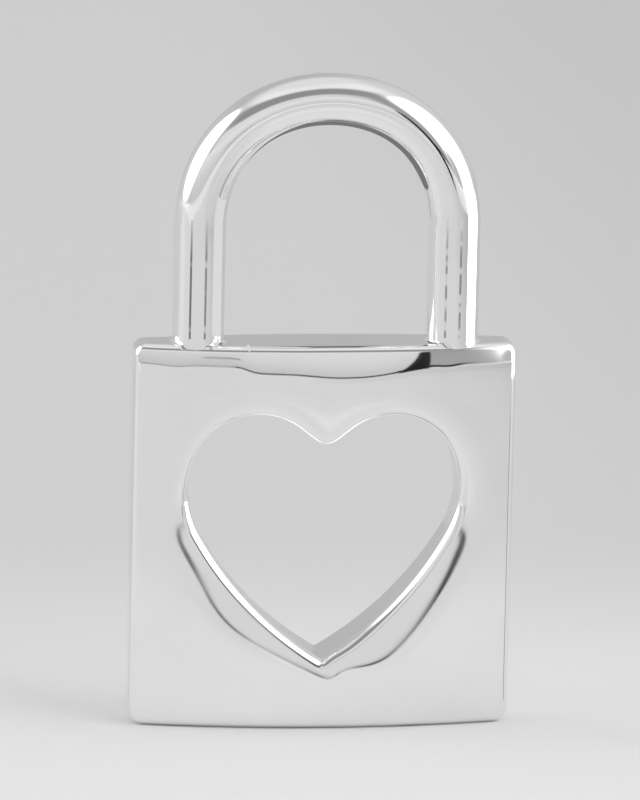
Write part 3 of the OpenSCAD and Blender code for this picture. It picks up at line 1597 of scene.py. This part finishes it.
@dataclass(frozen=True)
class LegLine:
    """A narrow dark strip close to a leg of the shackle, which the leg mirrors towards the camera as a line.

    Attributes:
        name: The strip's name.
        leg_x: x of the leg's axis.
        azimuth: Direction in which the leg sees it, in degrees from straight in front, positive to the right.
        height: From and to, above the floor.
        light: Linear light of the strip, and of the breaks in it.
        breaks: Share of the strip that is breaks.
        break_length: Length of the longest wave that makes them.
        break_softness: How softly they begin, as a share of the waves' spread.
        fade: Length over which its upper end turns as light as its breaks.
        width: The strip's width.
        distance: From the leg's surface.
        wire_r: The leg's radius.
        view: Azimuth of the camera, in degrees.
        seed: Seed of the breaks.
        rows: Points upwards.
    """

    name: str
    leg_x: float
    azimuth: float
    height: tuple[float, float] = (13.15 * MM, 17.2 * MM)
    light: tuple[float, float] = (0.2, 0.62)
    breaks: float = 0.0
    break_length: float = 0.9 * MM
    break_softness: float = 0.2
    fade: float = 1.3 * MM
    width: float = 0.13 * MM
    distance: float = 0.35 * MM
    wire_r: float = 0.87 * MM
    view: float = -7.5
    seed: int = 3
    rows: int = 121

    def build(self) -> bpy.types.Object:
        """Builds the strip across the mirrored line of sight.

        The leg's normal halves the angle between the view and the strip's direction. The strip's middle is
        the leg's axis plus the wire's radius along that normal, plus the distance along the direction. Breaks
        are where a sum of random sines over the height is high, by a soft step, and the upper end fades in a
        straight line.

        Returns:
            The strip.
        """
        away, facing = math.radians(self.azimuth), math.radians((self.azimuth + self.view) / 2)
        x = self.leg_x + self.wire_r * math.sin(facing) + self.distance * math.sin(away)
        y = -self.wire_r * math.cos(facing) - self.distance * math.cos(away)
        level = np.linspace(*self.height, self.rows)[:, None]
        across = self.width / 2 * np.array([[-1.0, 1.0]])
        sides = (x + across * math.cos(away), y + across * math.sin(away))
        grid = np.stack(np.broadcast_arrays(*sides, level), axis=-1)
        wave = Ripple(height=1.0, length=self.break_length, seed=self.seed).at(level, np.zeros((1, 2)))
        past = wave - np.quantile(wave, 1 - self.breaks)
        broken = soft_step(past, self.break_softness * np.std(wave))
        faded = 1 - np.clip((self.height[1] - level) / self.fade, 0, 1)
        return light_surface(self.name, grid, blend(*self.light, np.maximum(broken, faded)))


@dataclass(frozen=True)
class PaleFloor:
    """The pale floor, whose colour changes slowly with the place, with painted light and shade: a painted
    shadow behind the object, painted shade to the right and a painted pool of light in front.

    Attributes:
        size: Length of a side.
        painted_light_tones: Its colour at some values of Y, in order, and blended in between: painted light
            and shade, lighter in front of the object and a painted shadow behind it.
        right_shade_change: X at which the painted shade starts to get darker to the right, and stops.
        right_shade_share: Share of its colour that the painted shade leaves there.
        light_pool_middle: x and y of the middle of a painted pool of light in front.
        light_pool_half: The painted pool's half width and half depth.
        light_pool_core: Share of those at which the painted pool starts to fade.
        light_pool_gain: What the painted pool of light adds to the colour.
        roughness: The floor's roughness.
        shine: Its specular level.
    """

    size: float = 6.0
    # Painted light and shade: lighter in front of the object, a painted shadow behind it.
    painted_light_tones: tuple[tuple[float, float], ...] = (
        (-80 * MM, 0.86),
        (-58 * MM, 0.72),
        (-30 * MM, 0.715),
        (-11 * MM, 0.775),
        (-4 * MM, 0.775),
        (30 * MM, 0.62),
    )
    # Painted shade towards the right.
    right_shade_change: tuple[float, float] = (8 * MM, 32 * MM)
    right_shade_share: float = 0.9
    # A painted pool of light on the floor in front of the object.
    light_pool_middle: tuple[float, float] = (5 * MM, -33 * MM)
    light_pool_half: tuple[float, float] = (9 * MM, 14 * MM)
    light_pool_core: float = 0.3
    light_pool_gain: float = 0.085
    roughness: float = 0.8
    shine: float = 0.1

    def tone(self, make: NodeMaker, y: bpy.types.NodeSocket) -> bpy.types.NodeSocket:
        """Adds the colour ramp over Y, which is painted light and shade: lighter in front of the object and a
        painted shadow behind it.

        Args:
            make: Maker of the material's nodes.
            y: The place's Y.

        Returns:
            The tone's output.
        """
        first, last = self.painted_light_tones[0][0], self.painted_light_tones[-1][0]
        ramp = make.add("ShaderNodeValToRGB", Fac=make.between(y, (first, last)))
        stops = ramp.color_ramp
        stops.interpolation = "EASE"
        for _ in range(len(self.painted_light_tones) - len(stops.elements)):
            stops.elements.new(1.0)
        for stop, (level, tone) in zip(stops.elements, self.painted_light_tones):
            stop.position = (level - first) / (last - first)
            stop.color = (tone, tone, tone, 1.0)
        return ramp.outputs["Color"]

    def painted_light_pool(self, make: NodeMaker, place: bpy.types.NodeSocket) -> bpy.types.NodeSocket:
        """Adds the painted pool of light, which fades with the place's distance from its middle over its half
        sizes.

        Args:
            make: Maker of the material's nodes.
            place: The place.

        Returns:
            The output of what the painted pool of light adds.
        """
        (x, y), (half_width, half_depth) = self.light_pool_middle, self.light_pool_half
        from_middle = make.add(
            "ShaderNodeMapping",
            {"vector_type": "POINT"},
            Vector=place,
            Location=(-x / half_width, -y / half_depth, 0.0),
            Scale=(1 / half_width, 1 / half_depth, 0.0),
        )
        off = make.add("ShaderNodeVectorMath", {"operation": "LENGTH"}, Vector=from_middle.outputs[0])
        return make.between(off.outputs["Value"], (self.light_pool_core, 1.0), (self.light_pool_gain, 0.0), Change.SOFT)

    def material(self) -> bpy.types.Material:
        """Builds the material: the painted light and shade over Y, times the painted shade to the right, plus
        the painted pool of light.

        Returns:
            The material.
        """
        made, make = NodeMaker.for_material("pale_floor")
        place = make.add("ShaderNodeTexCoord").outputs["Object"]
        parts = make.add("ShaderNodeSeparateXYZ", Vector=place).outputs
        # Painted shade: the floor gets darker to the right.
        painted_right_shade = make.between(parts["X"], self.right_shade_change, (1.0, self.right_shade_share), Change.SOFT)
        shaded = make.math("MULTIPLY", self.tone(make, parts["Y"]), painted_right_shade)
        # Adds the painted pool of light in front.
        tone = make.math("ADD", shaded, self.painted_light_pool(make, place))
        colour = make.add("ShaderNodeCombineColor", Red=tone, Green=tone, Blue=tone)
        shader = make.add(
            "ShaderNodeBsdfPrincipled",
            Base_Color=colour.outputs[0],
            Roughness=self.roughness,
            Specular_IOR_Level=self.shine,
        )
        make.show(shader)
        return made

    def build(self) -> bpy.types.Object:
        """Builds the floor, a level square.

        Returns:
            The floor.
        """
        half = self.size / 2
        corners = np.array([[-half, -half, 0.0], [half, -half, 0.0], [half, half, 0.0], [-half, half, 0.0]])
        floor = link(make_mesh("floor", corners, [np.array([[0, 1, 2, 3]])]))
        floor.data.materials.append(self.material())
        return floor


@dataclass
class Studio:
    """A pale floor under a dome of soft light.

    The lock's face looks down on the floor in front of it, and its buffed slopes look at what stands 6 cm
    further on. The shackle looks over that, at the screens behind.

    Attributes:
        floor: The floor.
        dome: The dome.
        screens: Narrow screens between the dome and the object.
        cards: Cards on the floor and beside the shackle.
    """

    floor: PaleFloor = PaleFloor()
    dome: Dome = Dome()
    screens: tuple[Screen, ...] = (
        Screen("horizon_left", (-2 * MM, 18 * MM), 0.88, ((-64, 0.3, 0.3), (-6, 0.3, 0.3))),
        Screen("horizon_middle", (-2 * MM, 24 * MM), 0.88, ((-6, 0.05, 0.05), (15.5, 0.05, 0.05))),
        Screen(
            "horizon_right",
            (-2 * MM, 34 * MM),
            0.88,
            ((15.5, 0.03, 0.03), (26.49, 0.03, 0.03), (26.5, 0.05, 0.05), (31, 0.38, 0.38)),
        ),
        Screen("front_screen", (15.5 * MM, 42 * MM), 66 * MM, ((-64, 0.6, 0.84), (22, 0.6, 0.84))),
        Screen(
            "dark_stand",
            (5.6 * MM, 36 * MM),
            61 * MM,
            ((17.3, 0.01, 0.03), (24.6, 0.01, 0.03)),
            lean=(4.2, 0.0),
        ),
        Screen(
            "card_foot",
            (0.0, 1.8 * MM),
            60 * MM,
            (
                (-18, 0.1, 0.16),
                (-1.5, 0.1, 0.16),
                (1.5, 0.5, 0.55),
                (10.49, 0.42, 0.48),
                (10.5, 0.36, 0.42),
                (13.49, 0.1, 0.15),
                (13.5, 0.01, 0.03),
                (34, 0.3, 0.36),
            ),
        ),
        Screen(
            "front_card",
            (1.5 * MM, 10.5 * MM),
            60.2 * MM,
            ((-40, 0.68, 0.74), (4, 0.68, 0.74), (9, 0.64, 0.7), (60, 0.5, 0.45)),
        ),
        Screen(
            "front_cover",
            (3.2 * MM, 8.3 * MM),
            40 * MM,
            ((-45, 0.72, 0.72), (12, 0.72, 0.72), (62, 0.63, 0.52)),
        ),
        Screen("shelf_line", (21.8 * MM, 23.2 * MM), 65.5 * MM, ((-15, 0.25, 0.25), (-4, 0.25, 0.25))),
        Screen("right_glow", (0.5 * MM, 17.5 * MM), 66 * MM, ((57, 2.6, 2.6), (112, 2.6, 2.6))),
    )
    cards: tuple[FloorCard | UprightCard | LegLine, ...] = (
        LegLine("left_leg_line", -4.26 * MM, -42.0),
        LegLine("left_leg_inner_line", -4.26 * MM, 24.5, light=(0.28, 0.6), breaks=0.1),
        LegLine("right_leg_line", 4.26 * MM, -38.0, light=(0.32, 0.66), breaks=0.45, seed=4),
        LegLine("right_leg_outer_line", 4.26 * MM, 25.0, light=(0.28, 0.66), breaks=0.4, seed=9),
        FloorCard("left_card", (-6.4 * MM, 0.0), (-152, -142), (3 * MM, 62 * MM), 0.45),
        FloorCard("right_card", (6.4 * MM, 0.0), (47, 60), (3 * MM, 61 * MM), 0.42),
        FloorCard("arch_card", (0.9 * MM, -3 * MM), (-194, -166), (3.3 * MM, 9.5 * MM), 0.19, 17.2 * MM),
        UprightCard(
            "leg_shade", (-2.6 * MM, -1.6 * MM), (-2.6 * MM, -0.1 * MM), (13.05 * MM, 17.5 * MM), 0.77
        ),
    )

    def build(self) -> None:
        """Builds the dome, the screens, the cards, the floor and the light beyond them."""
        for part in (self.dome, *self.screens, *self.cards, self.floor):
            part.build()
        world = bpy.data.worlds.new("room")
        world.use_nodes = True
        back = world.node_tree.nodes["Background"]
        back.inputs["Color"].default_value = WHITE
        back.inputs["Strength"].default_value = self.dome.low_light
        bpy.context.scene.world = world
        log.info("studio: a dome, a floor, %d screens and %d cards", len(self.screens), len(self.cards))


@dataclass(frozen=True)
class PhotoCamera:
    """The camera at the photograph's angle.

    Attributes:
        azimuth: Degrees from straight in front, positive to the right.
        elevation: Degrees above level.
        roll: Degrees by which the camera is turned, so that the object leans clockwise.
        distance: From the aim point.
        aim: The point that the scale belongs to.
        pixels_per_metre: The photograph's scale at that point.
        frame_width: The photograph's width in pixels.
        frame_height: Its height.
        aim_pixel: Where the aim point shows.
        sensor_width: Width of the sensor in millimetres, which goes with the focal length.
        clip: The nearest and the furthest distance that show.
    """

    azimuth: float = -7.5
    elevation: float = 12.0
    roll: float = 1.3
    distance: float = 345 * MM
    aim: tuple[float, float, float] = (0.0, 0.0, 10.9 * MM)
    pixels_per_metre: float = 30_000.0
    frame_width: int = 640
    frame_height: int = 800
    aim_pixel: tuple[float, float] = (323.4, 401.9)
    sensor_width: float = 36.0
    clip: tuple[float, float] = (0.01, 20.0)

    def build(self) -> bpy.types.Object:
        """Creates the camera and makes it the scene's.

        Its axes come from the angles, and it looks past the aim point by as much as that point is off the
        picture's middle.

        Returns:
            The camera.
        """
        azimuth, elevation, roll = (math.radians(a) for a in (self.azimuth, self.elevation, self.roll))
        back = Vector(
            (
                math.sin(azimuth) * math.cos(elevation),
                -math.cos(azimuth) * math.cos(elevation),
                math.sin(elevation),
            )
        )
        level = Vector((math.cos(azimuth), math.sin(azimuth), 0.0))
        upright = back.cross(level)
        right = math.cos(roll) * level + math.sin(roll) * upright
        up = back.cross(right)
        off_x = (self.frame_width / 2 - self.aim_pixel[0]) / self.pixels_per_metre
        off_y = (self.aim_pixel[1] - self.frame_height / 2) / self.pixels_per_metre
        place = Vector(self.aim) + back * self.distance + right * off_x + up * off_y
        data = bpy.data.cameras.new("photo_camera")
        data.sensor_width = self.sensor_width
        data.lens = self.sensor_width * self.distance * self.pixels_per_metre / self.frame_height
        data.clip_start, data.clip_end = self.clip
        camera = bpy.data.objects.new("photo_camera", data)
        axes = Matrix((right, up, back)).transposed().to_4x4()
        camera.matrix_world = Matrix.Translation(place) @ axes
        bpy.context.scene.collection.objects.link(camera)
        bpy.context.scene.camera = camera
        return camera


def dress(piece: bpy.types.Object, materials: list[bpy.types.Material]) -> None:
    """Gives a piece its materials and its place in the frame.

    Args:
        piece: The piece.
        materials: Its materials, in the order of its slots.
    """
    for material in materials:
        piece.data.materials.append(material)
    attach(piece, BODY)
    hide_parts(NODE)
    log.info("%s: %d points, %d faces", piece.name, len(piece.data.vertices), len(piece.data.polygons))


def main() -> None:
    """Builds the camera, the studio and the two pieces of silver."""
    low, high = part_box(NODE)
    PhotoCamera().build()
    Studio().build()
    bpy.context.scene.view_settings.view_transform = "Standard"
    group = BuffedPolish().group()
    mirror = SilverFinish(
        name="mirror_silver",
        bright=(0.93, 0.925, 0.928),
        dull=(0.90, 0.895, 0.896),
        softness=0.05,
        softness_change=0.03,
        mark_depth=0.02e-6,
    ).material(group)
    satin = SilverFinish(
        name="satin_silver",
        bright=(0.88, 0.875, 0.872),
        dull=(0.84, 0.835, 0.83),
        softness=0.16,
        softness_change=0.08,
        mark_depth=0.06e-6,
    ).material(group)
    body = LockBody(width=high.x - low.x, thickness=high.y - low.y)
    dress(body.build(), [mirror, satin])
    shackle = Shackle(top=high.z)
    dress(shackle.build(body), [mirror])
    log.info("the heart lock is dressed")


if __name__ == "__main__":
    main()
